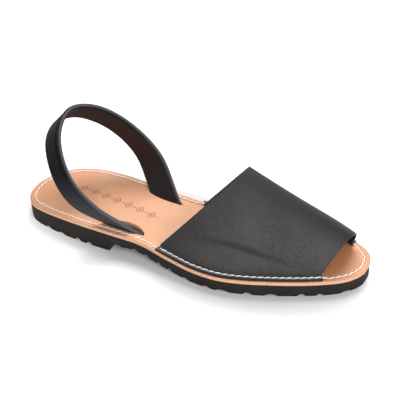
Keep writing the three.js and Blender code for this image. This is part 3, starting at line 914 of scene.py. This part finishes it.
edge_rows = black_edge / vamp_panel
even_rows = np.linspace(0.011, 0.989, 100)
vamp_share = np.concatenate([edge_rows, even_rows, 1 - edge_rows[::-1]])[:, None]
arch_turn = np.linspace(0, np.pi, 131)
vamp_middle = np.concatenate([
    vamp_hem("lateral", vamp_share), vamp_arch(vamp_share, arch_turn),
    vamp_hem("medial", vamp_share)[:, ::-1]], axis=1)
vamp_count = vamp_middle.shape[1]
flat_insets = black_edge[-1] + (bend_inset - black_edge[-1]) * flat_shares
flange_run = np.concatenate([black_edge, flat_insets])
beyond_flange = np.full(vamp_count - 2 * flange_count, 10 * mm)
from_sides = np.concatenate([flange_run, beyond_flange, flange_run[::-1]])
from_ends = np.minimum(vamp_share, 1 - vamp_share) * vamp_panel
from_edge = np.minimum(from_ends, from_sides)
vamp_half = vamp_leather / 2 - edge_fall(from_edge)

# Painted shade: the leather is darker along the top of the arch and low on its outer side near the back
# edge.
ridge_tone = np.sin(arch_turn) ** 8 * (1.1 + 0.3 * vamp_share)
back_painted_shade = 0.8 * np.exp(-(vamp_share / 0.2) ** 2) * (arch_turn < np.pi / 2) * np.cos(arch_turn) ** 2
hem_sides = ((0, 0), (hem_count, hem_count))
vamp_ridge = np.pad(ridge_tone + back_painted_shade, hem_sides)
creases = np.pad(crease_depth(vamp_share, arch_turn), hem_sides)
vamp_middle = vamp_middle - outward(vamp_middle) * creases[..., None]
vamp_edge = np.exp(-from_edge / (0.25 * mm))
vamp_inner = np.concatenate([np.zeros(vamp_count), np.ones(vamp_count)])
vamp_mesh = body_mesh(
    "leather_vamp", sheet_body(vamp_middle, vamp_half),
    edge=np.concatenate([vamp_edge, vamp_edge[:, ::-1]], axis=1), inner=vamp_inner,
    crease=np.concatenate([creases, creases[:, ::-1]], axis=1) / mm,
    ridge=np.concatenate([vamp_ridge, vamp_ridge[:, ::-1]], axis=1),
    hem=np.concatenate([from_sides, from_sides[::-1]]) / mm)
add_piece("leather_vamp", vamp_mesh, matt_leather.material, "vamp")


# Seam
# Thick white thread, sewn right round the sandal through the vamp's flange and the insole. Each stitch
# lies over the leather as a short arch, a little askew, and dives at its ends.
stitch_pitch = 5.05 * mm
stitch_length = 5.0 * mm
thread_radius = 0.44 * mm
stitch_arch = 0.35 * mm
stitch_slant = 0.35 * mm
thread_sink = 0.1 * mm
thread_thinning = 0.8
thread_climb = 0.5 * mm
flange_seam_inset = 3.0 * mm
seam_merge = 8.0 * mm
seam_swing = 12.0 * mm


def seam_path():
    """The line of the seam, round the sandal from the heel along its outer side: a fixed distance inside
    the edge, less on the flange, more by a bell curve where the flange is wider, and up on the flange
    between its two ends."""
    angle = np.linspace(0, np.pi, 1500)
    x = length / 2 * (1 - np.cos(angle))
    seam_share = 1 - flange_seam_inset / (bend_inset + vamp_bend)
    runs = []
    for side, way in (("lateral", 1), ("medial", -1)):
        back, front = (share * length for share in vamp_feet[side])
        lead_back, lead_front = (lead * seam_share for lead in flange_leads[side])
        rise = np.clip((x - back + lead_back + thread_climb) / mm, 0, 1)
        rise = rise * np.clip((front - lead_front + thread_climb - x) / mm, 0, 1)
        near = np.clip((x - back) / seam_merge + 1, 0, 1) * np.clip((front - x) / seam_merge + 1, 0, 1)
        inset = seam_inset + (flange_seam_inset - seam_inset) * near
        inset = inset * (1 + 2 * flange_widening[side] * np.exp(-((x - front) / seam_swing) ** 2))
        seam_x, seam_y = edge_point(side, angle, inset)
        seam_z = insole_top(seam_x) + (fit_gap + vamp_leather) * rise
        runs.append(np.column_stack([seam_x, seam_y, seam_z])[::way])
    path = np.concatenate(runs + [runs[0][:1]])
    steps = np.linalg.norm(np.diff(path[:, :2], axis=0), axis=1)
    return path, np.concatenate([[0], np.cumsum(steps)])


def stitch_bodies(path, travelled, pitch, long, radius, arch, slant):
    """One closed tube for each stitch, on the chord of its piece of the seam. Its middle is lifted by the
    arch times 1 - u squared, u being -1 and 1 at its ends, less the sink, it leans to the left by the
    slant times u, and its radius shrinks by the root of 1 - the thinning times u to the power 4."""
    number = round(travelled[-1] / pitch)
    middle = (np.arange(number) + 0.5) * travelled[-1] / number
    ends = [np.stack([np.interp(middle + half * long / 2, travelled, path[:, axis]) for axis in range(3)],
                     axis=-1) for half in (-1, 1)]
    u = np.sin(np.linspace(-1, 1, 9) * np.pi / 2)
    turn = np.linspace(0, 2 * np.pi, 9)[:-1]
    chord = ends[1] - ends[0]
    way = chord / np.linalg.norm(chord, axis=-1, keepdims=True)
    left = np.cross((0, 0, 1), way)
    left = left / np.linalg.norm(left, axis=-1, keepdims=True)
    up = np.cross(way, left)
    spine = (ends[0] + ends[1])[:, None] / 2 + chord[:, None] * u[:, None] / 2
    rise = arch * (1 - u ** 2) - thread_sink
    spine = spine + left[:, None] * slant * u[:, None] + up[:, None] * rise[:, None]
    thick = radius * np.sqrt(1 - thread_thinning * u ** 4)
    round_left = left[:, None, None] * np.cos(turn)[:, None] * thick[:, None, None]
    round_up = up[:, None, None] * np.sin(turn)[:, None] * thick[:, None, None]
    return spine[:, :, None] + round_left + round_up


white_thread = Finish("white_thread")
thread_twist = white_thread.cloud(0.5 * mm, 2.0, (0.6, 2.0, 1.0))
thread_colour = white_thread.blend(thread_twist.step(0.3, 0.7), paint(234, 228, 222), paint(252, 249, 246))
white_thread.fill(white_thread.shader, {
    "Base Color": thread_colour,
    "Roughness": 0.6 + thread_twist * 0.2,
    "Normal": white_thread.relief(thread_twist * 0.15)})
seam, seam_travelled = seam_path()
stitches = stitch_bodies(
    seam, seam_travelled, stitch_pitch, stitch_length, thread_radius, stitch_arch, stitch_slant)
add_piece("seam_thread", body_mesh("seam_thread", stitches, corner=70), white_thread.material)


# Heel strap
# A band of smooth black leather, folded over a cord along its upper edge, which stands out as a bead with
# a furrow below it. It goes round the back of the heel, and its two ends are held in the insole's slits.
bead_radius = 1.8 * mm
strap_half = 1.35 * mm

satin_leather = Finish("satin_black_leather")
satin_inner = satin_leather.stored("inner")
satin_end_light = satin_leather.stored("end")
satin_crest_highlight = satin_leather.stored("crest")
satin_cloud = satin_leather.cloud(24 * mm, 3.0)
satin_grain = satin_leather.cells(0.7 * mm)
satin_streak = satin_leather.cloud(2.2 * mm, 3.0)
satin_colour = satin_leather.blend(satin_cloud.step(0.3, 0.7), paint(15, 15, 17), paint(21, 21, 24))
# Painted light on the ends of the strap.
satin_colour = satin_leather.blend(satin_end_light * 0.9, satin_colour, paint(66, 66, 70))
# Painted highlight along the crest of the bead.
satin_colour = satin_leather.blend(satin_crest_highlight * 0.5, satin_colour, paint(104, 106, 108))
satin_colour = satin_leather.blend(satin_inner, satin_colour, paint(52, 38, 35))
satin_leather.fill(satin_leather.shader, {
    "Base Color": satin_colour,
    "Roughness": 0.5 + satin_streak * 0.12 + satin_inner * 0.3,
    "Specular IOR Level": 0.05,
    "Normal": satin_leather.relief(satin_grain * 0.05 + satin_streak * 0.08)})

# The strap's section goes over the bead, down the outer face, round the lower edge and up the inner face.
bead_turn = np.radians(np.linspace(-130, 130, 15))
bead_down = bead_radius * (1 - np.cos(bead_turn))
bead_out = bead_radius * np.sin(bead_turn)
fold_down = np.array([3.3, 3.8, 4.4, 5.2, 6.4]) * mm
fold_out = np.array([0.95, 0.95, 1.2, 1.35, 1.4]) * mm
hem_up = np.array([4.5, 3.2, 2.5, 2.2, 1.9, 1.6]) * mm
hem_out = np.array([1.4, 1.4, 1.35, 1.15, 1.35, 1.4]) * mm
low_turn = np.radians(np.linspace(90, -90, 9))
low_up = strap_half * (1 - np.cos(low_turn))
low_out = strap_half * np.sin(low_turn)
inner_up = np.array([2.2, 4.0]) * mm
inner_out = np.array([1.4, 1.35]) * mm
mid_share = np.array([0.35, 0.5, 0.65])
mid_reach = np.zeros(3)

# Each part of the section: the share of the width from the upper edge down to where it is measured from,
# how far below that its points lie, and how far out from the middle surface.
strap_section = [
    (0.0, bead_down, bead_out),
    (0.0, fold_down, fold_out),
    (mid_share, mid_reach, 1.4 * mm),
    (1.0, -hem_up, hem_out),
    (1.0, -low_up, low_out),
    (1.0, -inner_up, -inner_out),
    (mid_share[::-1], mid_reach, -strap_half),
    (0.0, fold_down[3::-1], -fold_out[3::-1]),
]
section_share, section_reach, section_out = (
    np.concatenate([np.broadcast_to(part[item], part[1].shape) for part in strap_section])
    for item in range(3))
strap_share = np.linspace(0, 1, 241)
strap_rings = strap_body(strap_share, (section_share, section_reach), section_out, fit_gap)

# The inner face, from the middle of the lower edge on, is brown but for its ends. The ends are paler with
# painted light, less so inside, and the crest of the bead has a painted highlight.
lowest = sum(len(part[1]) for part in strap_section[:4]) + len(low_turn) // 2
inner_face = np.arange(len(section_out)) > lowest
off_middle = np.abs(strap_share - 0.5)[:, None]
strap_inner = inner_face * np.clip(2.4 - off_middle * 4.4, 0, 1)
strap_end_light = np.clip(off_middle * 5 - 1.2, 0, 1) * np.where(inner_face, 0.3, 1)
strap_crest_highlight = np.pad(np.cos(bead_turn).clip(0) ** 4, (0, len(section_out) - len(bead_turn)))
add_piece(
    "leather_heel_strap", body_mesh(
        "leather_heel_strap", strap_rings, inner=strap_inner, end=strap_end_light, crest=strap_crest_highlight),
    satin_leather.material, "heel_strap")
